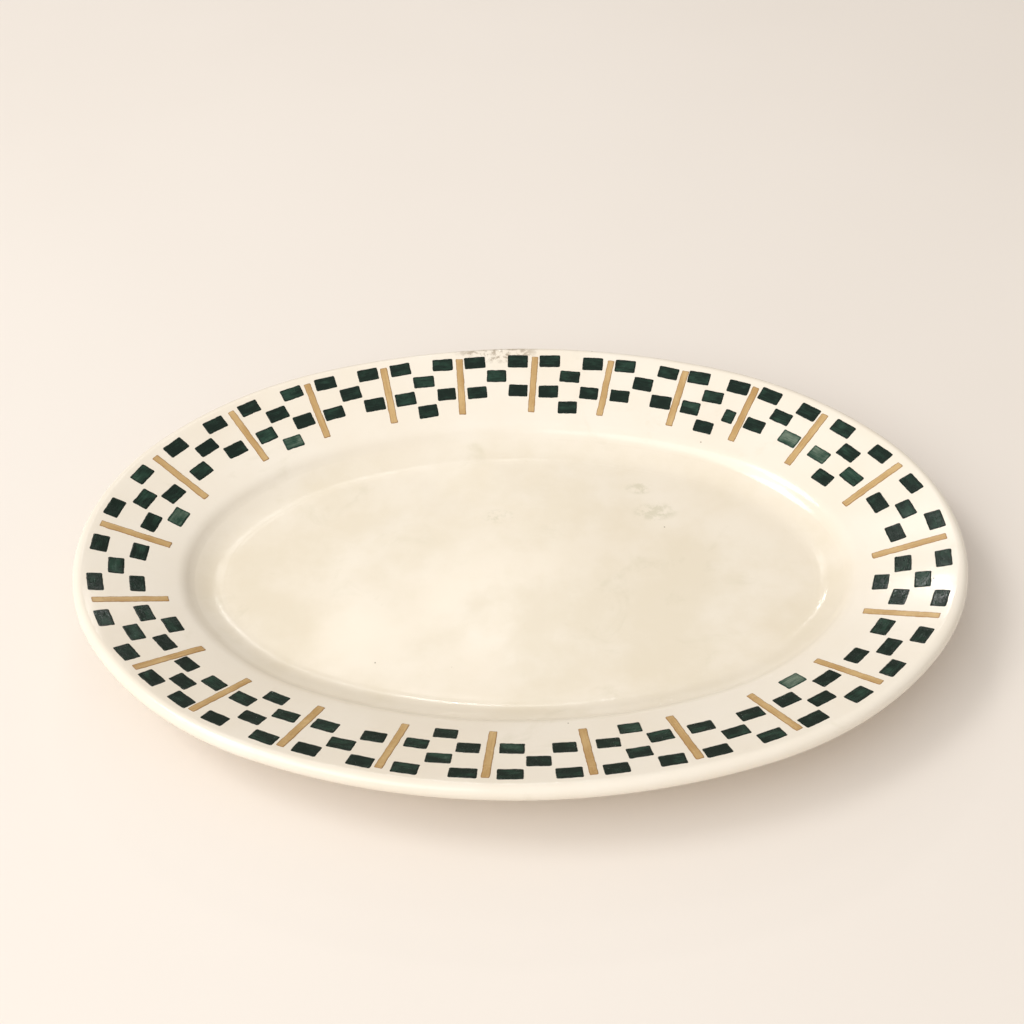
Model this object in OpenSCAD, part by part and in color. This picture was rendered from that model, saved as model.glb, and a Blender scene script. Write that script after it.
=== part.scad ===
// Oval serving platter in glazed earthenware, with a wide sloping rim, a shallow well and a
// low foot ring.  The rim carries stencilled green chequer panels between brushed ochre bars.
// Millimetres.  The origin is under the centre of the well, on the surface the foot stands on;
// +X runs along the platter's length and +Z is up.

/* [Platter] */
// Radius of the outline's two ends, at the lip
end_r = 107; // [103:1:110]
// How much larger the radius of the four shoulders is than that of the ends
shoulder_step = 55; // [50:5:60]
// How much larger the radius of the two long sides is than that of the shoulders
side_step = 125; // [115:5:130]
// Thickness of the fired and glazed wall
wall_t = 5.6; // [4.8:0.2:6.4]

/* [Rim] */
// Height of the rim's upper face where it meets the rounded lip
rim_h = 34.25; // [33:0.25:36]
// Length of the straight part of the rim, measured down its slope
rim_len = 40; // [38:0.5:42]
// Radius of the rounded lip
lip_r = 3.6; // [3.4:0.1:3.8]

/* [Well] */
// Length of the straight part of the well's wall
wall_len = 3.125; // [1.5625:1.5625:4.6875]
// Radius of the shoulder, where the rim turns down into the well
shoulder_r = 12.5; // [11.25:1.25:13.75]
// Radius of the hollow, where the wall runs out into the floor
hollow_r = 12.5; // [11.25:1.25:13.75]

/* [Foot] */
// Width of the foot ring
foot_w = 6; // [5:0.5:8]
// How far the foot ring's corners are rounded
foot_round = 1.4; // [0.8:0.1:1.8]

/* [Glaze] */
// Thickness of the glaze
glaze_t = 0.4; // [0.3:0.05:0.5]

/* [Decoration] */
// Thickness of the painted layer
paint_t = 0.15; // [0.1:0.05:0.25]
// Width of a green block in the outer row, along the rim
block_w = 10.4; // [9.6:0.2:10.6]
// How much narrower the blocks of each row are than those of the row outside it
row_taper = 0.3; // [0:0.1:0.5]
// Depth of one green block, across the rim
block_h = 6.6; // [6:0.2:7.6]
// Distance from one row of blocks to the next, seen from above
row_step = 8.2; // [8:0.1:8.5]
// Distance from the lip to the middle of the outer row
first_row = 10; // [9:0.25:10.5]
// Distance along the rim from a panel's middle to its outer blocks
block_step = 10.4; // [10.4:0.1:10.8]
// Width of an ochre bar
bar_w = 3.6; // [3:0.2:4.2]
// Distance from the lip to a bar's outer end
bar_start = 7.5; // [6.5:0.25:8]
// Distance from the lip to a bar's inner end
bar_end = 38; // [36:0.5:39]

/* [Hidden] */
$fa = 3;
$fs = 0.6;
CREAM = [0.95, 0.92, 0.84];
BUFF = [0.86, 0.76, 0.62];
GREEN = [0.11, 0.21, 0.17];
OCHRE = [0.79, 0.62, 0.37];

// The outline is an oval of eight tangent arcs: two ends, four shoulders and two sides.  Arcs
// meet where the outline's normal is END_DIR or SIDE_DIR, two directions whose sine and cosine
// are exact decimals, so that the radii above also place the centres exactly.
END_DIR = [0.8, 0.6];
SIDE_DIR = [0.352, 0.936];
corner_r = end_r + shoulder_step;
side_r = corner_r + side_step;
end_c = [shoulder_step * END_DIR.x + side_step * SIDE_DIR.x, 0];
corner_c = end_c - shoulder_step * END_DIR;
side_c = corner_c - side_step * SIDE_DIR;
end_turn = atan2(END_DIR.y, END_DIR.x);
side_turn = atan2(SIDE_DIR.y, SIDE_DIR.x);

// One row per arc, anticlockwise from the right-hand end: centre x and y, radius, start, sweep.
ARCS = [
    [ end_c.x,     0,           end_r,    -end_turn,       2 * end_turn],
    [ corner_c.x,  corner_c.y,  corner_r, end_turn,        side_turn - end_turn],
    [ 0,           side_c.y,    side_r,   side_turn,       180 - 2 * side_turn],
    [-corner_c.x,  corner_c.y,  corner_r, 180 - side_turn, side_turn - end_turn],
    [-end_c.x,     0,           end_r,    180 - end_turn,  2 * end_turn],
    [-corner_c.x, -corner_c.y,  corner_r, 180 + end_turn,  side_turn - end_turn],
    [ 0,          -side_c.y,    side_r,   180 + side_turn, 180 - 2 * side_turn],
    [ corner_c.x, -corner_c.y,  corner_r, 360 - side_turn, side_turn - end_turn]
];

// Section of the wall.  u runs inwards from the lip and z is height, both along the upper face.
// The rim falls by 20.6 degrees and the well's wall by 48.8, again with exact sines and cosines.
RIM_UP = [0.352, 0.936];              // outward normal of the rim's upper face
WALL_UP = [0.752192, 0.658944];       // outward normal of the wall's upper face
function down(up) = [up.y, -up.x];    // direction down a face with that normal
rim_start = [lip_r + lip_r * RIM_UP.x, rim_h];
lip_c = rim_start - lip_r * RIM_UP;
rim_end = rim_start + rim_len * down(RIM_UP);
shoulder_c = rim_end - shoulder_r * RIM_UP;
wall_top = shoulder_c + shoulder_r * WALL_UP;
wall_foot = wall_top + wall_len * down(WALL_UP);
hollow_c = wall_foot + hollow_r * WALL_UP;
floor_u = hollow_c.x;
floor_z = hollow_c.y - hollow_r;
base_z = floor_z - wall_t;
foot_out = floor_u + 0.5;
foot_in = foot_out + foot_w;
join_u = foot_in + 3;      // the sections end here, inside the flat floor
lap = 2;                   // overlap of the floor slab with the sections
function face_z(u) = rim_h - (u - rim_start.x) * RIM_UP.x / RIM_UP.y;

// Decoration.  Places along the rim are counted on a line through the middle of the bars.
panels = 24;
mid_u = 24;
arc_len = [for (a = ARCS) (a[2] - mid_u) * a[4] * PI / 180];
function len_to(i) = i == 0 ? 0 : len_to(i - 1) + arc_len[i - 1];
round_len = len_to(len(ARCS));
pitch = round_len / panels;
function arc_at(s, i = 0) = (i == len(ARCS) - 1 || s < len_to(i + 1)) ? i : arc_at(s, i + 1);
function wrap(s) = s - round_len * floor(s / round_len);
function turn_at(s, i) = ARCS[i][3] + (s - len_to(i)) / (ARCS[i][2] - mid_u) * 180 / PI;

// The first bar stands up and left of the middle, and the count runs clockwise.  The painter's
// spacing drifts: panels 8 and 20 are crowded, and the places even out again after each.
first_bar = arc_len[0] / 2 + 9.86 * pitch;
SLIP = [[1, -6], [4, -2], [7, 2.5], [9, 10.5], [11, 4], [13, -2.5], [20, -2.5], [21, 4], [23, -1], [25, -6]];
LEAN = [[1, 1], [6, -3], [8, 0], [14, 6], [18, -4], [21, -3], [25, 1]];
function bar_s(k) = first_bar - (k - 1) * pitch + lookup(k, SLIP);
function bar_lean(k) = lookup(k, LEAN);
function gap_after(k) = bar_s(k) - (k == panels ? bar_s(1) - round_len : bar_s(k + 1));
function panel_s(k) = bar_s(k) - gap_after(k) / 2;
bar_clear = 0.4;
function step_in(k) = min(block_step, (gap_after(k) - bar_w - block_w) / 2 - bar_clear);
function has_peak(k) = k % 2 == 1;

function two(k) = str(k < 10 ? "0" : "", k);
function panel_name(k) = str("green_panel_", two(k));
function bar_name(k) = str("ochre_bar_", two(k));

// ---- helpers ----

// The three areas that the arcs of one quarter sweep, out to well beyond the lip.
module end_area() {
    far = 250 * END_DIR;
    polygon([end_c, end_c + far, end_c + [far.x, -far.y]]);
}

module corner_area() polygon([corner_c, corner_c + 250 * END_DIR, corner_c + 250 * SIDE_DIR]);

module side_area() {
    near = corner_c;
    far = corner_c + 250 * SIDE_DIR;
    polygon([near, far, [-far.x, far.y], [-near.x, near.y]]);
}

// Both ends, all four shoulders and both sides, from one of each as child 0, 1 and 2.
module mirror_round() {
    for (sx = [0, 1]) mirror([sx, 0]) children(0);
    for (sx = [0, 1], sy = [0, 1]) mirror([sx, 0]) mirror([0, sy]) children(1);
    for (sy = [0, 1]) mirror([0, sy]) children(2);
}

// A section, drawn in u and z, swept round the whole oval.
module sweep_oval()
    mirror_round() {
        sector(end_c, end_r) { children(); end_area(); }
        sector(corner_c, corner_r) { children(); corner_area(); }
        sector(side_c, side_r) { children(); side_area(); }
    }

module sector(centre, r)
    intersection() {
        translate(centre) rotate_extrude() translate([r, 0]) mirror([1, 0]) children([0:$children - 2]);
        linear_extrude(height = 2 * rim_h) children($children - 1);
    }

// The flat area of the oval that lies further than u inside the lip.
module oval(u)
    mirror_round() {
        pie(end_c, end_r - u) end_area();
        pie(corner_c, corner_r - u) corner_area();
        pie(side_c, side_r - u) side_area();
    }

module pie(centre, r)
    intersection() {
        translate(centre) circle(r = r);
        children();
    }

// The wall between two depths below its upper face: rim, shoulder, well wall, hollow and floor.
module band(d0, d1) {
    run(rim_start, RIM_UP, rim_len, d0, d1);
    bend(shoulder_c, shoulder_r - d1, shoulder_r - d0, RIM_UP, WALL_UP);
    run(wall_top, WALL_UP, wall_len, d0, d1);
    bend(hollow_c, hollow_r + d0, hollow_r + d1, -WALL_UP, [0, -1]);
    run([floor_u, floor_z], [0, 1], join_u - floor_u, d0, d1);
}

module run(from, face_up, length, d0, d1)
    translate(from) rotate(-atan2(face_up.x, face_up.y))
        translate([0, -d1]) square([length, d1 - d0]);

module bend(centre, r0, r1, side_a, side_b) {
    reach = 50;
    translate(centre)
        intersection() {
            difference() {
                circle(r = r1);
                circle(r = r0);
            }
            polygon([[0, 0], reach * side_a, reach * side_b]);
        }
}

// The whole wall, taken back by skin on every face.
module wall_section(skin) {
    translate(lip_c) circle(r = lip_r - skin);
    band(skin, wall_t - skin);
}

module block_outline(w, h, r) {
    square([w - 2 * r, h], center = true);
    square([w, h - 2 * r], center = true);
    for (sx = [-1, 1], sy = [-1, 1])
        translate([sx * (w / 2 - r), sy * (h / 2 - r)]) circle(r = r);
}

// A painted mark on the rim: w along it, from depth u0 to u1 across it, leaning by lean degrees.
module mark(s, u0, u1, w, lean = 0, round_r = 1) {
    i = arc_at(wrap(s));
    a = ARCS[i];
    turn = turn_at(wrap(s), i);
    mid_r = a[2] - (u0 + u1) / 2;
    half = (w / 2 + 3 + (u1 - u0) * abs(sin(lean)) / 2) / (a[2] - u1) * 180 / PI;
    translate([a[0], a[1], 0])
        intersection() {
            rotate_extrude(angle = 2 * half, start = turn - half)
                translate([a[2], 0]) mirror([1, 0]) paint_strip(u0 - 1, u1 + 1);
            rotate(turn) translate([mid_r, 0, 0]) rotate(lean)
                linear_extrude(height = 2 * rim_h) block_outline(u1 - u0, w, round_r);
        }
}

module paint_strip(u0, u1)
    polygon([[u0, face_z(u0)], [u1, face_z(u1)], [u1, face_z(u1) + paint_t], [u0, face_z(u0) + paint_t]]);

// ---- sub-parts ----

// The fired clay: rim, well and floor in one.
module clay_body() color(BUFF) {
    sweep_oval() {
        wall_section(glaze_t);
        foot_seat();
    }
    translate([0, 0, base_z + glaze_t])
        linear_extrude(height = wall_t - 2 * glaze_t) oval(join_u - lap);
}

// Bare clay under the floor, where the foot ring is joined on and no glaze lies between.
module foot_seat()
    translate([foot_out, base_z]) square([foot_w, 2 * glaze_t]);

// The ring that the platter stands on, bare along its bottom edge.
module foot_ring() color(BUFF)
    sweep_oval() {
        translate([foot_out, foot_round]) square([foot_w, base_z - foot_round]);
        translate([foot_out + foot_round, 0]) square([foot_w - 2 * foot_round, base_z]);
        for (u = [foot_out + foot_round, foot_in - foot_round])
            translate([u, foot_round]) circle(r = foot_round);
    }

// Glaze over the face, round the lip and back under the rim as far as the foot ring.
module glaze_coat() color(CREAM) {
    sweep_oval()
        difference() {
            wall_section(0);
            wall_section(glaze_t);
            translate([foot_out, 0]) square([join_u, base_z + wall_t / 2]);
        }
    translate([0, 0, floor_z - glaze_t]) linear_extrude(height = glaze_t) oval(join_u - lap);
}

// Glaze on the underside, inside the foot ring.
module glaze_base_panel() color(CREAM)
    translate([0, 0, base_z]) linear_extrude(height = glaze_t) oval(foot_in);

// One stencilled panel: a five-block chequer, and on every other panel a sixth block inside it.
module green_panel(k) color(GREEN) {
    s = panel_s(k);
    step = step_in(k);
    for (row = [0:3], side = [-1, 0, 1])
        if ((row + side) % 2 != 0 && (row < 3 || has_peak(k)))
            block(s + side * step, first_row + row * row_step, block_w - row * row_taper);
}

module block(s, u, w)
    mark(s, u - block_h / 2, u + block_h / 2, w);

// One brushed bar between two panels.
module ochre_bar(k) color(OCHRE)
    mark(bar_s(k), bar_start, bar_end, bar_w, bar_lean(k), 0.8);

clay_body();
foot_ring();
glaze_coat();
glaze_base_panel();
for (k = [1:panels]) green_panel(k);
for (k = [1:panels]) ochre_bar(k);
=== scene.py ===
"""Looks of an oval serving platter: cream-glazed earthenware with a stencilled and brushed border.

Metres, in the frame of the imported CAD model: the origin is under the middle of the well, +X runs
along the platter and +Z is up.  The glaze, the painted marks and the foot ring are meshes made
here, each in the place of its CAD node; the clay body inside the glaze keeps its CAD shape.
"""
import math
import random

import bpy
from mathutils import Matrix, Quaternion, Vector, noise


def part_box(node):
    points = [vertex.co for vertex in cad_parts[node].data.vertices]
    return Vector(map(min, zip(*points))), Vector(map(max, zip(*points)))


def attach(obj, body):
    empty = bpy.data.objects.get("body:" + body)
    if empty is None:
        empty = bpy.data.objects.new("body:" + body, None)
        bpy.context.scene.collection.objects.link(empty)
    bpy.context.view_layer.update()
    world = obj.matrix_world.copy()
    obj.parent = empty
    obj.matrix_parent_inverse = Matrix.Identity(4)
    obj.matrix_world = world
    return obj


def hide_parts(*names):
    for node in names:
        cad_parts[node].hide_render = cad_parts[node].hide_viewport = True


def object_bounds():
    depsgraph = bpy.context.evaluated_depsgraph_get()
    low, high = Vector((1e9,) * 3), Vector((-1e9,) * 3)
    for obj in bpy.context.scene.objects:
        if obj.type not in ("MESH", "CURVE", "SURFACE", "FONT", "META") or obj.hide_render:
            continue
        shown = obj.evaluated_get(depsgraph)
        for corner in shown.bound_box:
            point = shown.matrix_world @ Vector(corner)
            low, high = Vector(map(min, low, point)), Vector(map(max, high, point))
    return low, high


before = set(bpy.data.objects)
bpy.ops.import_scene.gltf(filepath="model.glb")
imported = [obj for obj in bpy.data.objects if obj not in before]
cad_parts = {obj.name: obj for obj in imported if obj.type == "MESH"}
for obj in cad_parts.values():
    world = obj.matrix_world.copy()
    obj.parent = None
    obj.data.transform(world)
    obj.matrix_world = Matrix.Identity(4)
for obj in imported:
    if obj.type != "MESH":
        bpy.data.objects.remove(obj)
cad_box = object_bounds()

MM = 0.001

# ---- the oval --------------------------------------------------------------------------------
# Eight tangent arcs: two ends, four shoulders and two sides.  They meet where the outline's
# normal is END_DIR or SIDE_DIR.
END_DIR = Vector((0.8, 0.6))
SIDE_DIR = Vector((0.352, 0.936))
SHOULDER_STEP = 55 * MM
SIDE_STEP = 125 * MM
END_C = Vector((SHOULDER_STEP * END_DIR.x + SIDE_STEP * SIDE_DIR.x, 0))
END_R = (cad_box[1].x - cad_box[0].x) / 2 - END_C.x
CORNER_C = END_C - SHOULDER_STEP * END_DIR
CORNER_R = END_R + SHOULDER_STEP
SIDE_C = CORNER_C - SIDE_STEP * SIDE_DIR
SIDE_R = CORNER_R + SIDE_STEP
END_TURN = math.atan2(END_DIR.y, END_DIR.x)
SIDE_TURN = math.atan2(SIDE_DIR.y, SIDE_DIR.x)
MID_U = 24 * MM     # places along the rim are counted on the line this far inside the lip


def quarter_arcs(sx, sy, turn):
    """The three arcs of one quarter, anticlockwise: centre, radius, start and sweep of each."""
    arcs = [(END_C, END_R, END_TURN), (CORNER_C, CORNER_R, SIDE_TURN - END_TURN),
            (SIDE_C, SIDE_R, math.pi / 2 - SIDE_TURN)]
    if sx * sy < 0:
        arcs.reverse()
    rows = []
    for c, r, sweep in arcs:
        rows.append((Vector((c.x * sx, c.y * sy)), r, turn, sweep))
        turn += sweep
    return rows


ARCS = [row for i, (sx, sy) in enumerate([(1, 1), (-1, 1), (-1, -1), (1, -1)])
        for row in quarter_arcs(sx, sy, i * math.pi / 2)]
ARC_LEN = [(r - MID_U) * sweep for _, r, _, sweep in ARCS]
ROUND_LEN = sum(ARC_LEN)


def on_oval(s, u):
    """The point u inside the lip at place s, counted from the +X end, and the outward normal."""
    s %= ROUND_LEN
    for (c, r, turn, _), length in zip(ARCS, ARC_LEN):
        if s <= length:
            break
        s -= length
    a = turn + s / (r - MID_U)
    n = Vector((math.cos(a), math.sin(a)))
    return c + n * (r - u), n


def inset_of(x, y):
    """How far inside the lip the point (x, y) lies, measured square to the lip."""
    p = Vector((abs(x), abs(y)))
    for c, r, turn in ((END_C, END_R, END_TURN), (CORNER_C, CORNER_R, SIDE_TURN)):
        if math.atan2(p.y - c.y, p.x - c.x) <= turn:
            return r - (p - c).length
    return SIDE_R - (p - SIDE_C).length


def sway(x, y):
    """How far a hand-pressed and fired wall stands above its true surface at (x, y)."""
    slow = noise.noise(Vector((x, y, 0.3)) * 9)
    quick = noise.noise(Vector((x, y, 1.7)) * 26)
    return (0.11 * slow + 0.05 * quick) * MM


DISH_RISE = 0.45 * MM       # how far the well's floor rises towards its edge
DISH_START = 46 * MM        # how far inside the lip that rise begins to count
POOL_REACH = 8 * MM         # the pooled glaze evens out the face over this far each way
POOL_SOFT = 0.3 * MM        # how gently the pool begins
RING_PLACES = (2.4 * MM, 4.3 * MM)      # faint rings in the floor, counted from its edge
RING_WIDTH = 0.45 * MM
RING_RISE = 0.035 * MM


def relief(x, y):
    """How far the face stands above its true surface: sway(), a dished floor and pooled glaze."""
    u = inset_of(x, y)
    dish = DISH_RISE * ((x / HALF_FLOOR.x) ** 2 + (y / HALF_FLOOR.y) ** 2)
    spread = [face_height(u + POOL_REACH * i / 6) for i in range(-6, 7)]
    dip = sum(spread) / len(spread) - face_height(u)
    pool = (dip + math.hypot(dip, POOL_SOFT) - POOL_SOFT) / 2
    around = 0.5 + 0.5 * noise.noise(Vector((x, y, 4.1)) * 14)
    rings = sum(math.exp(-((u - FLOOR_U - at) / RING_WIDTH) ** 2) for at in RING_PLACES)
    return (sway(x, y) + (pool + ease(u, DISH_START, FLOOR_U) * dish)
            + RING_RISE * around * rings)


# ---- the wall's section ----------------------------------------------------------------------
# u runs inwards from the lip and z is height, as Vector((u, z)).
RIM_UP = Vector((0.352, 0.936))             # outward normal of the rim's upper face
WALL_UP = Vector((0.752192, 0.658944))      # outward normal of the well wall's upper face
FLAT_UP = Vector((0, 1))
LIP_R = 3.6 * MM
RIM_LEN = 40 * MM
WALL_LEN = 3.125 * MM
TURN_R = 12.5 * MM                          # radius of the shoulder and of the hollow
GLAZE_T = 0.4 * MM
FOOT_W = 6 * MM
FOOT_ROUND = 1.4 * MM
WALL_T = 5.6 * MM
BASE_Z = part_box("glaze_base_panel")[0].z
FLOOR_Z = BASE_Z + WALL_T


def down(up):
    return Vector((up.y, -up.x))


WALL_DROP = TURN_R * (RIM_UP.y - WALL_UP.y) + WALL_LEN * WALL_UP.x + TURN_R * (1 - WALL_UP.y)
RIM_START = Vector((LIP_R * (1 + RIM_UP.x), FLOOR_Z + WALL_DROP + RIM_LEN * RIM_UP.x))
LIP_C = RIM_START - LIP_R * RIM_UP
RIM_END = RIM_START + RIM_LEN * down(RIM_UP)
SHOULDER_C = RIM_END - TURN_R * RIM_UP
WALL_TOP = SHOULDER_C + TURN_R * WALL_UP
WALL_FOOT = WALL_TOP + WALL_LEN * down(WALL_UP)
HOLLOW_C = WALL_FOOT + TURN_R * WALL_UP
FLOOR_U = HOLLOW_C.x
FOOT_OUT = FLOOR_U + 0.5 * MM
FOOT_IN = FOOT_OUT + FOOT_W
HALF_FLOOR = Vector((END_C.x + END_R - FLOOR_U, SIDE_C.y + SIDE_R - FLOOR_U))


def face_z(u):
    """Height of the rim's straight upper face u inside the lip."""
    return RIM_START.y - (u - RIM_START.x) * RIM_UP.x / RIM_UP.y


def face_height(u):
    """Height of the whole upper face u inside the lip: rim, shoulder, wall, hollow and floor."""
    if u > FLOOR_U:
        return FLOOR_Z
    if u > WALL_FOOT.x:
        return HOLLOW_C.y - math.sqrt(TURN_R ** 2 - (u - HOLLOW_C.x) ** 2)
    if u > WALL_TOP.x:
        return WALL_TOP.y - (u - WALL_TOP.x) * WALL_UP.x / WALL_UP.y
    if u > RIM_END.x:
        return SHOULDER_C.y + math.sqrt(TURN_R ** 2 - (u - SHOULDER_C.x) ** 2)
    return face_z(u)


def ease(value, low, high):
    """0 below low and 1 above high, smoothly."""
    t = min(1, max(0, (value - low) / (high - low)))
    return t * t * (3 - 2 * t)


def arc(centre, r, up0, up1, count):
    """Points on the shorter arc between two directions from its centre, without the first."""
    a0 = math.atan2(up0.y, up0.x)
    sweep = math.remainder(math.atan2(up1.y, up1.x) - a0, 2 * math.pi)
    angles = [a0 + sweep * i / count for i in range(1, count + 1)]
    return [centre + r * Vector((math.cos(a), math.sin(a))) for a in angles]


def straight(p, q, count):
    return [p.lerp(q, i / count) for i in range(1, count + 1)]


def fillet(p, corner, q, count):
    """A quadratic curve from p to q that turns at the corner, without p."""
    shares = [i / count for i in range(1, count + 1)]
    return [p.lerp(corner, t).lerp(corner.lerp(q, t), t) for t in shares]


def crossing(p, d, q, e):
    """Where the line from p along d meets the line from q along e."""
    return p + d * (((q - p).cross(e)) / d.cross(e))


# The lip's bead runs into the rim's underside in a soft hollow.
LIP_BACK = Vector((0.04, -1)).normalized()
BEAD_END = LIP_C + LIP_R * LIP_BACK
UNDER_START = RIM_START - WALL_T * RIM_UP
BEAD_TURN = crossing(BEAD_END, Vector((1, 0.04)), UNDER_START, down(RIM_UP))
LIP_SEAM = BEAD_TURN + 3.2 * MM * down(RIM_UP)       # the two glaze pieces meet on this line
SEAM_EDGE = 0.06 * MM * down(RIM_UP)                 # a narrow strip keeps the shading smooth there
MENISCUS = 1.3 * MM                                  # the glaze creeps this far down the foot ring
FLOOR_STRIP = 8 * MM                                 # the finely divided edge of the floor


def face_section():
    """From the seam behind the lip, out round it, down the rim and over the floor's edge strip."""
    pts = [LIP_SEAM, LIP_SEAM - SEAM_EDGE]
    pts += fillet(LIP_SEAM - SEAM_EDGE, BEAD_TURN, BEAD_END, 6)
    pts += arc(LIP_C, LIP_R, LIP_BACK, Vector((-1, 0)), 10)
    pts += arc(LIP_C, LIP_R, Vector((-1, 0)), RIM_UP, 12)
    pts += straight(RIM_START, RIM_END, 11)
    pts += arc(SHOULDER_C, TURN_R, RIM_UP, WALL_UP, 8)
    pts += straight(WALL_TOP, WALL_FOOT, 1)
    pts += arc(HOLLOW_C, TURN_R, -WALL_UP, -FLAT_UP, 14)
    return pts + straight(pts[-1], pts[-1] + Vector((FLOOR_STRIP, 0)), 18)


def face_back():
    """The inner side of the face's glaze, from the floor's edge back to the seam."""
    d = GLAZE_T
    pts = [Vector((FLOOR_U, FLOOR_Z - d))]
    pts += arc(HOLLOW_C, TURN_R + d, -FLAT_UP, -WALL_UP, 4)
    pts += straight(WALL_FOOT - d * WALL_UP, WALL_TOP - d * WALL_UP, 1)
    pts += arc(SHOULDER_C, TURN_R - d, WALL_UP, RIM_UP, 3)
    pts += straight(RIM_END - d * RIM_UP, RIM_START - d * RIM_UP, 2)
    pts += arc(LIP_C, LIP_R - d, RIM_UP, Vector((-1, 0)), 6)
    pts += arc(LIP_C, LIP_R - d, Vector((-1, 0)), LIP_BACK, 5)
    return pts + [LIP_SEAM + d * RIM_UP]


def under_section():
    """The underside's glaze, from the seam behind the lip to the foot ring's outer side."""
    t = WALL_T
    pts = [LIP_SEAM, LIP_SEAM + SEAM_EDGE]
    pts += straight(LIP_SEAM + SEAM_EDGE, RIM_END - t * RIM_UP, 10)
    pts += arc(SHOULDER_C, TURN_R - t, RIM_UP, WALL_UP, 7)
    pts += straight(WALL_TOP - t * WALL_UP, WALL_FOOT - t * WALL_UP, 1)
    pts += arc(HOLLOW_C, TURN_R + t, -WALL_UP, -FLAT_UP, 12)
    corner = Vector((FOOT_OUT, BASE_Z))
    pts[-1] = corner - Vector((MENISCUS, 0))
    return pts + fillet(pts[-1], corner, corner - Vector((0, MENISCUS)), 6)


def under_back():
    """The inner side of the underside's glaze, from the foot ring back to the seam."""
    d = WALL_T - GLAZE_T
    pts = [Vector((FOOT_OUT, BASE_Z + GLAZE_T))]
    pts += arc(HOLLOW_C, TURN_R + d, -FLAT_UP, -WALL_UP, 6)
    pts += straight(WALL_FOOT - d * WALL_UP, WALL_TOP - d * WALL_UP, 1)
    pts += arc(SHOULDER_C, TURN_R - d, WALL_UP, RIM_UP, 4)
    return pts + straight(RIM_END - d * RIM_UP, LIP_SEAM + GLAZE_T * RIM_UP, 4)


# ---- meshes ----------------------------------------------------------------------------------
STATIONS = 480              # points in each row round the oval


class Build:
    """Vertices, faces and per-vertex values of one piece while it is put together."""

    def __init__(self):
        self.verts, self.faces, self.values = [], [], {}

    def ring(self, points):
        """Adds a closed row of points and returns their indices."""
        first = len(self.verts)
        self.verts.extend(points)
        return list(range(first, len(self.verts)))

    def bridge(self, a, b):
        """Quads between two rows of the same length."""
        n = len(a)
        self.faces.extend((a[i], a[(i + 1) % n], b[(i + 1) % n], b[i]) for i in range(n))

    def piece(self, name, material, slot, *nodes):
        mesh = bpy.data.meshes.new(name)
        mesh.from_pydata([tuple(v) for v in self.verts], [], self.faces)
        mesh.polygons.foreach_set("use_smooth", [True] * len(mesh.polygons))
        for key, column in self.values.items():
            kind = "FLOAT" if isinstance(column[0], float) else "FLOAT_VECTOR"
            layer = mesh.attributes.new(key, kind, "POINT")
            flat = column if kind == "FLOAT" else [c for v in column for c in v]
            layer.data.foreach_set("value" if kind == "FLOAT" else "vector", flat)
        mesh.materials.append(material)
        mesh.validate()
        obj = bpy.data.objects.new(name, mesh)
        bpy.context.scene.collection.objects.link(obj)
        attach(obj, "root")
        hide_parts(*nodes)
        return obj


def oval_row(u, z, lift=sway):
    """One closed row of points round the oval, at u inside the lip and height z."""
    row = []
    for j in range(STATIONS):
        p, _ = on_oval(ROUND_LEN * j / STATIONS, u)
        row.append(Vector((p.x, p.y, z + lift(p.x, p.y))))
    return row


def sweep(build, section, close=True, lift=sway):
    """Sweeps a section round the oval and returns its rows of indices."""
    rows = [build.ring(oval_row(p.x, p.y, lift)) for p in section]
    for a, b in zip(rows, rows[1:]):
        build.bridge(a, b)
    if close:
        build.bridge(rows[-1], rows[0])
    return rows


def disc(build, edge, count, up, lift=sway):
    """Fills a row of points with rings that shrink to the middle.  The face looks up or down."""
    pts = [build.verts[i] for i in edge]
    base = sum(p.z - lift(p.x, p.y) for p in pts) / len(pts)
    row = edge
    for i in range(1, count):
        t = 1 - i / count
        inner = build.ring([Vector((p.x * t, p.y * t, base + lift(p.x * t, p.y * t))) for p in pts])
        build.bridge(row, inner) if up else build.bridge(inner, row)
        row = inner
    middle = build.ring([Vector((0, 0, base + lift(0, 0)))])[0]
    n = len(row)
    for i in range(n):
        a, b = row[i], row[(i + 1) % n]
        build.faces.append((a, b, middle) if up else (b, a, middle))


def glaze_face(material):
    build = Build()
    front = sweep(build, face_section(), close=False, lift=relief)
    back = sweep(build, face_back(), close=False)
    build.bridge(back[-1], front[0])
    disc(build, front[-1], 24, True, relief)
    disc(build, back[0], 8, False)
    return build.piece("glaze_face", material, "glaze", "glaze_coat")


def glaze_under(material):
    build = Build()
    sweep(build, list(reversed(under_section())) + list(reversed(under_back())))
    return build.piece("glaze_under", material, "glaze", "glaze_coat")


def glaze_base(material):
    """The glaze inside the foot ring, which creeps a little way down the ring's inner side."""
    build = Build()
    corner = Vector((FOOT_IN, BASE_Z))
    low = corner - Vector((0, MENISCUS))
    section = [low] + fillet(low, corner, corner + Vector((MENISCUS, 0)), 6)
    front = sweep(build, list(reversed(section)), close=False)
    back = build.ring(oval_row(FOOT_IN, BASE_Z + GLAZE_T))
    build.bridge(front[-1], back)
    disc(build, front[0], 22, False)
    disc(build, back, 8, True)
    return build.piece("glaze_base", material, "glaze", "glaze_base_panel")


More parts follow.
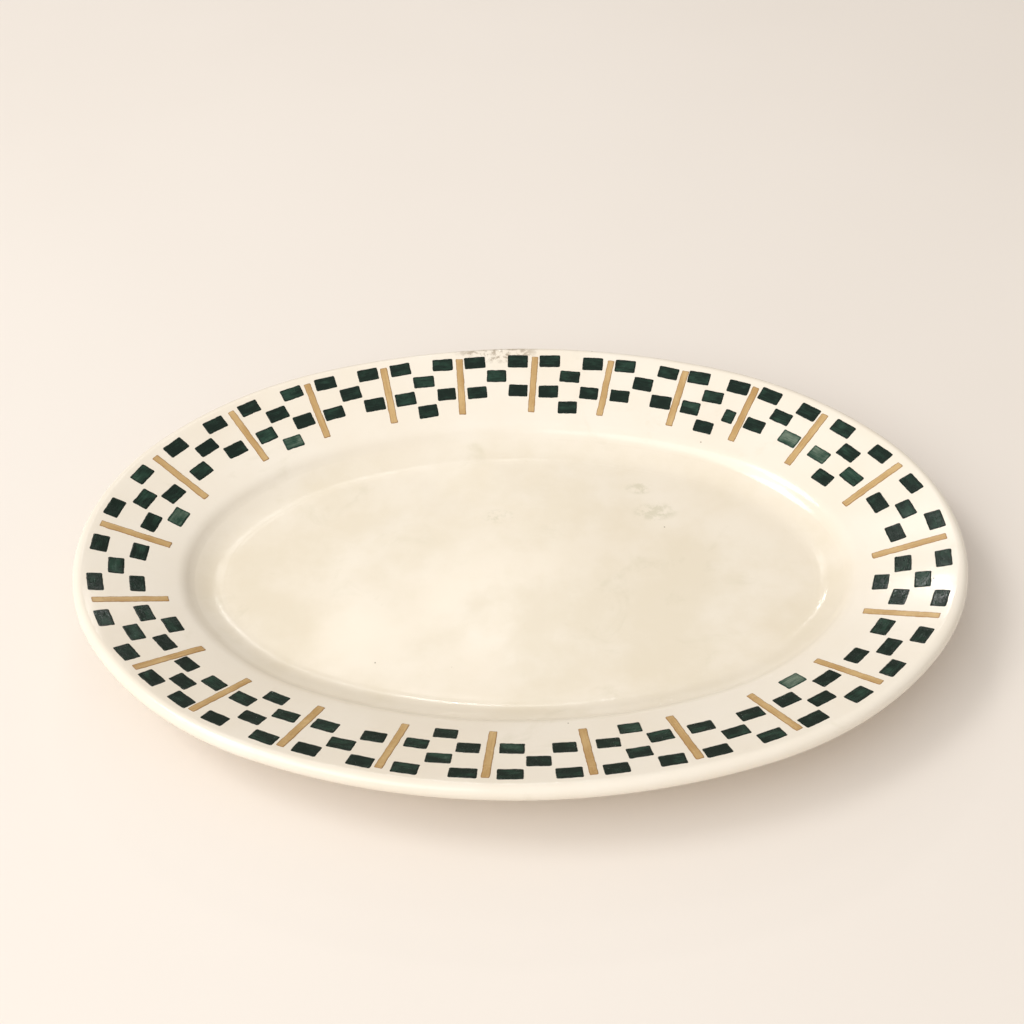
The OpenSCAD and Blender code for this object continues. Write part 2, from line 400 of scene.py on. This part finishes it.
def foot_ring(material):
    """The ring that the platter stands on, rubbed flat along its lower edge."""
    build = Build()
    r = FOOT_ROUND
    top, low = BASE_Z + 0.2 * MM, r
    pts = [Vector((FOOT_OUT, top))] + straight(Vector((FOOT_OUT, top)), Vector((FOOT_OUT, low)), 4)
    pts += arc(Vector((FOOT_OUT + r, r)), r, Vector((-1, 0)), -FLAT_UP, 6)
    pts += straight(Vector((FOOT_OUT + r, 0)), Vector((FOOT_IN - r, 0)), 5)
    pts += arc(Vector((FOOT_IN - r, r)), r, -FLAT_UP, Vector((1, 0)), 6)
    pts += straight(Vector((FOOT_IN, low)), Vector((FOOT_IN, top)), 4)
    rows = []
    for p in reversed(pts):
        row = oval_row(p.x, p.y, lambda x, y: 0)
        for q in row:
            rough = noise.noise(q * 140) + 0.5 * noise.noise(q * 420)
            if q.z < r:
                q.z += max(0, rough) * 0.16 * MM
        rows.append(build.ring(row))
    for a, b in zip(rows, rows[1:] + rows[:1]):
        build.bridge(a, b)
    return build.piece("foot_ring_bare", material, "bare_clay", "foot_ring")


# ---- the painted border ----------------------------------------------------------------------
PANELS = 24
PITCH = ROUND_LEN / PANELS
FIRST_BAR = 9.86 * PITCH    # up and left of the middle
BLOCK_W, BLOCK_H, ROW_TAPER = 10.4 * MM, 6.6 * MM, 0.3 * MM
ROW_STEP, FIRST_ROW, BLOCK_STEP = 8.2 * MM, 10 * MM, 10.4 * MM
BAR_W, BAR_START, BAR_END = 3.6 * MM, 7.5 * MM, 38 * MM
BAR_CLEAR = 0.4 * MM        # the least space from a bar to the next blocks, before they drift
# The painter's spacing drifts round the rim and the bars lean: (bar, mm) and (bar, degrees).  Both
# were read off the photograph through the fitted camera, then thinned out and rounded.
SLIP = [(1, -6), (4, -2), (7, 2.5), (9, 10.5), (11, 4),
        (13, -2.5), (20, -2.5), (21, 4), (23, -1), (25, -6)]
LEAN = [(1, 1), (6, -3), (8, 0), (14, 6), (18, -4), (21, -3), (25, 1)]


def lookup(k, table):
    """The value for bar k, on straight lines between the table's rows."""
    for (k0, v0), (k1, v1) in zip(table, table[1:]):
        if k <= k1:
            return v0 + (v1 - v0) * (k - k0) / (k1 - k0)


def bar_s(k):
    """The place of bar k along the rim.  The bars are counted clockwise from above."""
    return FIRST_BAR - (k - 1) * PITCH + lookup(k, SLIP) * MM


def gap_after(k):
    """The distance along the rim from bar k to the next."""
    return bar_s(k) - (bar_s(1) - ROUND_LEN if k == PANELS else bar_s(k + 1))


def rounded_outline(w, h, r, step):
    """Points round a rectangle with rounded corners, w by h: place and outward normal of each."""
    pts = []
    for cx, cy, turn in ((1, 1, 0), (-1, 1, 1), (-1, -1, 2), (1, -1, 3)):
        side = (h if turn % 2 == 0 else w) - 2 * r
        centre = Vector((cx * (w / 2 - r), cy * (h / 2 - r)))
        along = Vector((-math.sin(turn * math.pi / 2), math.cos(turn * math.pi / 2)))
        out = Vector((along.y, -along.x))
        count = max(2, round(side / step))
        for i in range(count):
            back = side * (1 - i / count)
            pts.append((centre + out * r - along * back, out))
        for i in range(4):
            a = turn * math.pi / 2 + (i / 4) * math.pi / 2
            n = Vector((math.cos(a), math.sin(a)))
            pts.append((centre + n * r, n))
    return pts


# How a dab of colour thickens inwards from its edge: (share of the half width, of the height).
PAD_SHAPE = [(0, -0.6), (0, 0.1), (0.05, 0.75), (0.12, 1.0),
             (0.25, 0.95), (0.45, 0.85), (0.7, 0.9), (0.9, 0.95)]


def mark(build, s, u, w, h, lean=0, corner=1 * MM, rag=0.16, tone=0.0, seed=0.0, height=0.13):
    """One dab of colour: a thin pad with a ragged outline that lies on the rim's upper face.

    It is w along the rim and h across it, with its middle at place s, u inside the lip."""
    base, n = on_oval(s, u)
    t = Vector((-n.y, n.x))
    turn = Matrix.Rotation(lean, 2)
    half = min(w, h) / 2
    outline = []
    for p, out in rounded_outline(w, h, corner, 0.55 * MM):
        where = Vector((p.x / MM, p.y / MM, seed * 7.3))
        push = noise.noise(where * 0.35) + 0.6 * noise.noise(where * 1.1)
        outline.append(p + out * push * rag * MM)

    def place(p, lift):
        local = turn @ Vector((-p.y, p.x))
        q = base + n * local.x + t * local.y
        build.values.setdefault("stroke", []).append((p.x / MM, p.y / MM, seed * 5))
        build.values.setdefault("tone", []).append(float(tone))
        return Vector((q.x, q.y, face_z(inset_of(q.x, q.y)) + sway(q.x, q.y) + lift * MM))

    def row(inward, lift):
        sx, sy = 1 - inward * half / (w / 2), 1 - inward * half / (h / 2)
        made = build.ring([place(Vector((p.x * sx, p.y * sy)), lift) for p in outline])
        build.values.setdefault("edge", []).extend([1.0 - inward] * len(made))
        return made

    rows = [row(inward, height * lift) for inward, lift in PAD_SHAPE]
    for a, b in zip(rows, rows[1:]):
        build.bridge(a, b)
    build.faces.append(tuple(reversed(rows[0])))
    build.faces.append(tuple(rows[-1]))


# Dabs that came out unlike the rest: (panel, row, side) to their tone, -1 for thin and pale.
PALE = {(1, 3, 0): -0.55, (8, 2, -1): -0.7, (9, 2, 1): -0.6, (13, 3, 0): -0.8, (23, 3, 0): -0.55,
        (1, 2, 1): -0.2, (9, 2, -1): -0.25, (23, 2, 0): -0.3}
# The narrow block beside bar 8: its width and its shift to the bar are shares of a block's width.
SLIVER, SLIVER_WIDTH, SLIVER_SHIFT = (7, 2, -1), 0.55, 0.12


def green_panel(k, material):
    """One stencilled panel: a five-block chequer, and on every other panel a sixth block inside."""
    rng = random.Random(1000 + k)
    build = Build()
    gap = gap_after(k)
    step = min(BLOCK_STEP, (gap - BAR_W - BLOCK_W) / 2 - BAR_CLEAR)
    for r in range(4):
        for side in (-1, 0, 1):
            if (r + side) % 2 == 0 or (r == 3 and k % 2 == 0):
                continue
            w = (BLOCK_W - r * ROW_TAPER) * rng.uniform(0.94, 1.05)
            h = BLOCK_H * rng.uniform(0.94, 1.06)
            s = bar_s(k) - gap / 2 + side * step + rng.uniform(-0.25, 0.25) * MM
            u = FIRST_ROW + r * ROW_STEP + rng.uniform(-0.3, 0.3) * MM
            if (k, r, side) == SLIVER:
                w, s = w * SLIVER_WIDTH, s - w * SLIVER_SHIFT
            tone = PALE.get((k, r, side), rng.uniform(-0.12, 0.25))
            mark(build, s, u, w, h, math.radians(rng.uniform(-2.5, 2.5)), corner=0.7 * MM,
                 tone=tone, seed=rng.uniform(0, 100))
    return build.piece(f"green_dabs_{k:02d}", material, "green_paint", f"green_panel_{k:02d}")


def ochre_bar(k, material):
    """One brushed bar between two panels."""
    rng = random.Random(2000 + k)
    build = Build()
    tone = rng.uniform(-0.25, 0.25)
    w = BAR_W * rng.uniform(0.9, 1.0)
    mark(build, bar_s(k), (BAR_START + BAR_END) / 2, w, BAR_END - BAR_START,
         math.radians(lookup(k, LEAN)), corner=0.5 * MM, rag=0.2, tone=tone,
         seed=rng.uniform(0, 100))
    return build.piece(f"ochre_stroke_{k:02d}", material, "ochre_paint", f"ochre_bar_{k:02d}")


# ---- materials -------------------------------------------------------------------------------
def linear(r, g, b):
    """A colour given as 0 to 255 on screen, as the shader wants it."""
    def part(c):
        return ((c / 255 + 0.055) / 1.055) ** 2.4 if c > 10 else c / 3294.6

    return part(r), part(g), part(b), 1


def socket(sockets, name):
    """The socket of that name which the node's settings leave switched on."""
    return next(s for s in sockets if s.name == name and s.enabled)


class Shader:
    """A material and short ways to add nodes to it.  Lengths in it are metres of the object."""

    def __init__(self, name, **constants):
        self.mat = bpy.data.materials.new(name)
        self.mat.use_nodes = True
        self.tree = self.mat.node_tree
        self.bsdf = self.tree.nodes["Principled BSDF"]
        for key, value in constants.items():
            self.bsdf.inputs[key.replace("_", " ")].default_value = value
        self.place = self.tree.nodes.new("ShaderNodeTexCoord").outputs["Object"]

    def node(self, kind, inputs=None, **settings):
        made = self.tree.nodes.new(kind)
        for key, value in settings.items():
            setattr(made, key, value)
        for key, value in (inputs or {}).items():
            if isinstance(value, bpy.types.NodeSocket):
                self.tree.links.new(value, made.inputs[key])
            else:
                made.inputs[key].default_value = value
        return made

    def attribute(self, name):
        return self.node("ShaderNodeAttribute", attribute_name=name)

    def noise(self, scale, detail=3.0, vector=None, rough=0.5, distortion=0.0):
        """Noise with features about 1/scale metres across, from about 0.3 to 0.7."""
        values = {"Vector": vector or self.place, "Scale": scale, "Detail": detail,
                  "Roughness": rough, "Distortion": distortion}
        return self.node("ShaderNodeTexNoise", values).outputs["Fac"]

    def ranged(self, value, low, high, to_low=0.0, to_high=1.0):
        """Maps low..high smoothly on to to_low..to_high."""
        values = {"Value": value, "From Min": low, "From Max": high,
                  "To Min": to_low, "To Max": to_high}
        made = self.node("ShaderNodeMapRange", values, interpolation_type="SMOOTHSTEP")
        return made.outputs["Result"]

    def math(self, operation, a, b=0.0):
        return self.node("ShaderNodeMath", {0: a, 1: b}, operation=operation).outputs[0]

    def mix(self, fac, a, b):
        made = self.node("ShaderNodeMix", data_type="RGBA")
        for key, value in {"Factor": fac, "A": a, "B": b}.items():
            target = socket(made.inputs, key)
            if isinstance(value, bpy.types.NodeSocket):
                self.tree.links.new(value, target)
            else:
                target.default_value = value
        return next(s for s in made.outputs if s.enabled)

    def stretched(self, vector, scale):
        return self.node("ShaderNodeMapping", {"Vector": vector, "Scale": scale}).outputs["Vector"]

    def parts(self, vector):
        return self.node("ShaderNodeSeparateXYZ", {"Vector": vector}).outputs

    def spots(self, scale, size, share):
        """1 in each round speck.  Its radius is size cells, and that share of the cells has one."""
        cells = self.node("ShaderNodeTexVoronoi", {"Vector": self.place, "Scale": scale})
        near = self.ranged(cells.outputs["Distance"], size, size * 0.6)
        pick = self.parts(cells.outputs["Color"])[0]
        return self.math("MULTIPLY", near, self.math("LESS_THAN", pick, share))

    def patch(self, x, y, rx, ry):
        """1 in the middle of an oval patch at (x, y), fading to 0 at its edge."""
        px, py = self.parts(self.place)[0:2]
        dx = self.math("DIVIDE", self.math("SUBTRACT", px, x), rx)
        dy = self.math("DIVIDE", self.math("SUBTRACT", py, y), ry)
        far = self.math("ADD", self.math("POWER", self.math("ABSOLUTE", dx), 2.0),
                        self.math("POWER", self.math("ABSOLUTE", dy), 2.0))
        return self.ranged(far, 1.0, 0.2)

    def finish(self, color, roughness, bump=None, depth=0.0001, strength=1.0):
        self.tree.links.new(color, self.bsdf.inputs["Base Color"])
        self.tree.links.new(roughness, self.bsdf.inputs["Roughness"])
        if bump is not None:
            values = {"Height": bump, "Distance": depth, "Strength": strength}
            made = self.node("ShaderNodeBump", values)
            self.tree.links.new(made.outputs["Normal"], self.bsdf.inputs["Normal"])
        return self.mat


# Where the photograph shows stains in the well, as (x, y, half length), and the worn patch on the
# far lip, as (x, y, half length, half width).
SMUDGES = [(0.064, 0.039, 0.012), (-0.010, 0.036, 0.009), (0.057, 0.055, 0.008)]
WORN_PATCH = (-0.013, 0.1325, 0.024, 0.0075)


def glaze_material():
    """Warm cream glaze: blotched, yellower where it pooled, with pinholes and faint stains."""
    sh = Shader("cream_glaze", IOR=1.5, Specular_IOR_Level=0.5)
    cloud = sh.ranged(sh.noise(16, 4, rough=0.55), 0.3, 0.7)
    color = sh.mix(cloud, linear(236, 225, 207), linear(240, 231, 216))
    height = sh.parts(sh.place)[2]
    pooled = sh.ranged(height, FLOOR_Z + 10 * MM, FLOOR_Z + 1 * MM)
    uneven = sh.ranged(sh.noise(21, 5, rough=0.6), 0.38, 0.66, 0.35, 1.0)
    blotch = sh.math("MULTIPLY", pooled, uneven)
    color = sh.mix(sh.math("MULTIPLY", blotch, 0.6), color, linear(221, 208, 182))
    stain = sh.ranged(sh.noise(34, 6, rough=0.65, distortion=0.6), 0.58, 0.78, 0.0, 0.32)
    color = sh.mix(stain, color, linear(205, 196, 168))
    for x, y, reach in SMUDGES:
        grain = sh.ranged(sh.noise(180, 4, rough=0.7), 0.42, 0.62, 0.0, 0.4)
        smudge = sh.math("MULTIPLY", sh.patch(x, y, reach, 0.6 * reach), grain)
        smudge = sh.math("MULTIPLY", smudge, sh.math("GREATER_THAN", height, FLOOR_Z - 2 * MM))
        color = sh.mix(smudge, color, linear(188, 182, 150))
    flakes = sh.ranged(sh.noise(330, 4, rough=0.7), 0.46, 0.58)
    worn = sh.math("MULTIPLY", sh.patch(*WORN_PATCH), flakes)
    color = sh.mix(sh.math("MULTIPLY", worn, 0.85), color, linear(168, 152, 130))
    pins = sh.spots(62, 0.028, 0.45)
    color = sh.mix(sh.math("MULTIPLY", pins, 0.7), color, linear(120, 100, 72))
    roughness = sh.ranged(sh.noise(40, 4), 0.35, 0.65, 0.13, 0.23)
    roughness = sh.math("ADD", roughness, sh.math("MULTIPLY", worn, 0.35))
    ripple = sh.math("MULTIPLY", sh.noise(260, 2), 0.7)
    peel = sh.math("MULTIPLY", sh.noise(900, 2), 0.12)
    skin = sh.math("SUBTRACT", sh.math("ADD", ripple, peel), sh.math("MULTIPLY", pins, 0.8))
    return sh.finish(color, roughness, skin, depth=0.00008, strength=0.6)


def green_material():
    """Dark blue-green stencil colour: denser at its edges, streaked by the brush."""
    sh = Shader("green_colour", IOR=1.5, Specular_IOR_Level=0.28)
    stroke = sh.attribute("stroke").outputs["Vector"]
    edge = sh.attribute("edge").outputs["Fac"]
    tone = sh.attribute("tone").outputs["Fac"]
    streak = sh.noise(1.0, 2, vector=sh.stretched(stroke, (0.16, 1.9, 1.0)), rough=0.6)
    wash = sh.noise(1.0, 2, vector=sh.stretched(stroke, (0.16, 0.3, 1.0)))
    thick = sh.math("ADD", sh.math("MULTIPLY", streak, 0.4), sh.math("MULTIPLY", wash, 0.6))
    thick = sh.math("ADD", thick, sh.math("MULTIPLY", tone, 0.5))
    thick = sh.math("ADD", thick, sh.ranged(edge, 0.72, 0.96, 0.0, 0.25))
    color = sh.mix(sh.ranged(thick, 0.25, 0.62), linear(38, 67, 53), linear(8, 29, 20))
    faint = sh.ranged(thick, 0.34, -0.1)
    color = sh.mix(sh.math("MULTIPLY", faint, 0.8), color, linear(130, 144, 126))
    roughness = sh.ranged(sh.noise(300, 3), 0.35, 0.65, 0.16, 0.3)
    return sh.finish(color, roughness, streak, depth=0.00004, strength=0.5)


def ochre_material():
    """Thin brushed ochre: the cream shows through the middle, and the edges are denser."""
    sh = Shader("ochre_colour", IOR=1.5, Specular_IOR_Level=0.45)
    stroke = sh.attribute("stroke").outputs["Vector"]
    edge = sh.attribute("edge").outputs["Fac"]
    tone = sh.attribute("tone").outputs["Fac"]
    streak = sh.noise(1.0, 2, vector=sh.stretched(stroke, (2.0, 0.07, 1.0)), rough=0.6)
    wash = sh.noise(1.0, 2, vector=sh.stretched(stroke, (0.25, 0.1, 1.0)))
    thick = sh.math("ADD", sh.math("MULTIPLY", streak, 0.5), sh.math("MULTIPLY", wash, 0.6))
    thick = sh.math("ADD", thick, sh.math("MULTIPLY", tone, 0.25))
    color = sh.mix(sh.ranged(thick, 0.3, 0.8), linear(206, 174, 122), linear(180, 142, 88))
    rim = sh.ranged(edge, 0.7, 0.95, 0.0, 0.8)
    color = sh.mix(rim, color, linear(140, 98, 50))
    roughness = sh.ranged(sh.noise(300, 3), 0.35, 0.65, 0.16, 0.3)
    return sh.finish(color, roughness, streak, depth=0.00004, strength=0.5)


def foot_material():
    """The foot ring: glazed down its sides, rubbed bare and slightly grimy where it stands."""
    sh = Shader("bare_foot", IOR=1.5, Specular_IOR_Level=0.4)
    height = sh.parts(sh.place)[2]
    stray = sh.math("MULTIPLY", sh.math("SUBTRACT", sh.noise(90, 4), 0.5), 2.4 * MM)
    ragged = sh.math("ADD", height, stray)
    bare = sh.ranged(ragged, 1.5 * MM, 1.2 * MM)
    grain = sh.noise(900, 4, rough=0.7)
    clay = sh.mix(sh.ranged(grain, 0.35, 0.65), linear(196, 172, 138), linear(222, 203, 172))
    grime = sh.ranged(sh.noise(120, 5, rough=0.7), 0.45, 0.75, 0.0, 0.6)
    clay = sh.mix(grime, clay, linear(140, 118, 90))
    cream = sh.mix(sh.noise(60, 4), linear(234, 222, 198), linear(242, 234, 216))
    color = sh.mix(bare, cream, clay)
    roughness = sh.math("ADD", sh.math("MULTIPLY", bare, 0.65), 0.16)
    return sh.finish(color, roughness, grain, depth=0.0002, strength=0.5)


def clay_material():
    """Fired buff clay: fine-grained and matt, with darker grog."""
    sh = Shader("buff_clay", IOR=1.45, Specular_IOR_Level=0.3)
    grain = sh.noise(700, 5, rough=0.7)
    color = sh.mix(sh.ranged(grain, 0.3, 0.7), linear(205, 180, 146), linear(228, 208, 178))
    color = sh.mix(sh.math("MULTIPLY", sh.spots(400, 0.25, 0.3), 0.5), color, linear(150, 120, 88))
    roughness = sh.ranged(sh.noise(200, 3), 0.3, 0.7, 0.75, 0.9)
    return sh.finish(color, roughness, grain, depth=0.0002, strength=0.5)


# ---- the platter -----------------------------------------------------------------------------
glaze = glaze_material()
glaze_face(glaze)
glaze_under(glaze)
glaze_base(glaze)
foot_ring(foot_material())
green, ochre = green_material(), ochre_material()
for number in range(1, PANELS + 1):
    green_panel(number, green)
    ochre_bar(number, ochre)
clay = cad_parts["clay_body"]
clay.data.materials.clear()
clay.data.materials.append(clay_material())


# ---- camera, light and floor -----------------------------------------------------------------
def camera():
    """The photograph's viewpoint, as fitted to the oval and the bars: in front and above."""
    azimuth, elevation, roll = math.radians(-2.81), math.radians(43.44), math.radians(-2.0)
    aim, distance = Vector((-0.0029, 0.0286, 0.020)), 0.6344
    level = Vector((math.sin(azimuth), math.cos(azimuth), 0))
    ahead = level * math.cos(elevation) - Vector((0, 0, math.sin(elevation)))
    made = bpy.data.objects.new("camera", bpy.data.cameras.new("camera"))
    made.data.lens, made.data.sensor_width = 48.22, 36
    made.location = aim - ahead * distance
    made.rotation_mode = "QUATERNION"
    made.rotation_quaternion = ahead.to_track_quat("-Z", "Y") @ Quaternion((0, 0, 1), roll)
    bpy.context.scene.collection.objects.link(made)
    bpy.context.scene.camera = made


def area_light(name, azimuth, elevation, distance, width, height, power, color):
    """A soft rectangular light that looks at the platter, from azimuth 0 behind it or 90 at +X."""
    a, e = math.radians(azimuth), math.radians(elevation)
    way = Vector((math.sin(a) * math.cos(e), math.cos(a) * math.cos(e), math.sin(e)))
    data = bpy.data.lights.new(name, "AREA")
    data.shape, data.size, data.size_y = "RECTANGLE", width, height
    data.energy, data.color = power, color
    made = bpy.data.objects.new(name, data)
    made.location = way * distance
    made.rotation_mode = "QUATERNION"
    made.rotation_quaternion = (-way).to_track_quat("-Z", "Y")
    bpy.context.scene.collection.objects.link(made)


def floor():
    size = 6
    mesh = bpy.data.meshes.new("floor")
    corners = [(-size, -size, 0), (size, -size, 0), (size, size, 0), (-size, size, 0)]
    mesh.from_pydata(corners, [], [(0, 1, 2, 3)])
    made = bpy.data.objects.new("floor", mesh)
    sh = Shader("floor_paint", Specular_IOR_Level=0.3)
    color = sh.mix(sh.noise(3, 4), linear(233, 224, 214), linear(237, 229, 220))
    mesh.materials.append(sh.finish(color, sh.ranged(sh.noise(8, 3), 0.3, 0.7, 0.5, 0.6)))
    bpy.context.scene.collection.objects.link(made)


def room():
    """Light from all round: bright and neutral from the front left, dim and warm opposite."""
    world = bpy.data.worlds.new("room")
    world.use_nodes = True
    tree = world.node_tree
    background = tree.nodes["Background"]
    facing = tree.nodes.new("ShaderNodeVectorMath")
    facing.operation = "DOT_PRODUCT"
    facing.inputs[1].default_value = Vector((-0.45, -0.6, 0.66)).normalized()
    ways = tree.nodes.new("ShaderNodeTexCoord").outputs["Generated"]
    tree.links.new(ways, facing.inputs[0])
    bright = tree.nodes.new("ShaderNodeMapRange")
    bright.interpolation_type = "SMOOTHSTEP"
    strength = {"From Min": -0.3, "From Max": 1.0, "To Min": 0.38, "To Max": 0.82}
    for key, value in strength.items():
        socket(bright.inputs, key).default_value = value
    tree.links.new(facing.outputs["Value"], bright.inputs["Value"])
    tree.links.new(bright.outputs["Result"], background.inputs["Strength"])
    tint = tree.nodes.new("ShaderNodeMapRange")
    tint.data_type = "FLOAT_VECTOR"
    colour = {"From Min": (-0.3, -0.3, -0.3), "From Max": (0.9, 0.9, 0.9),
              "To Min": (1.0, 0.915, 0.82), "To Max": (1.0, 0.995, 0.99)}
    for key, value in colour.items():
        socket(tint.inputs, key).default_value = value
    tree.links.new(facing.outputs["Value"], tint.inputs["Vector"])
    tree.links.new(tint.outputs["Vector"], background.inputs["Color"])
    bpy.context.scene.world = world


camera()
# Each light's azimuth and elevation, distance, width and height, watts and colour.
area_light("key", -134, 44, 2.4, 2.1, 1.5, 27, (1.0, 1.0, 1.0))
area_light("side", -92, 55, 2.0, 0.6, 0.6, 8.5, (1.0, 1.0, 1.0))
area_light("window", -10, 48, 2.0, 0.5, 0.2, 0.9, (1.0, 0.99, 0.97))
area_light("lamp", -4.5, 36, 1.8, 0.22, 0.03, 1.0, (1.0, 0.99, 0.97))
floor()
room()
bpy.context.scene.view_settings.view_transform = "Standard"
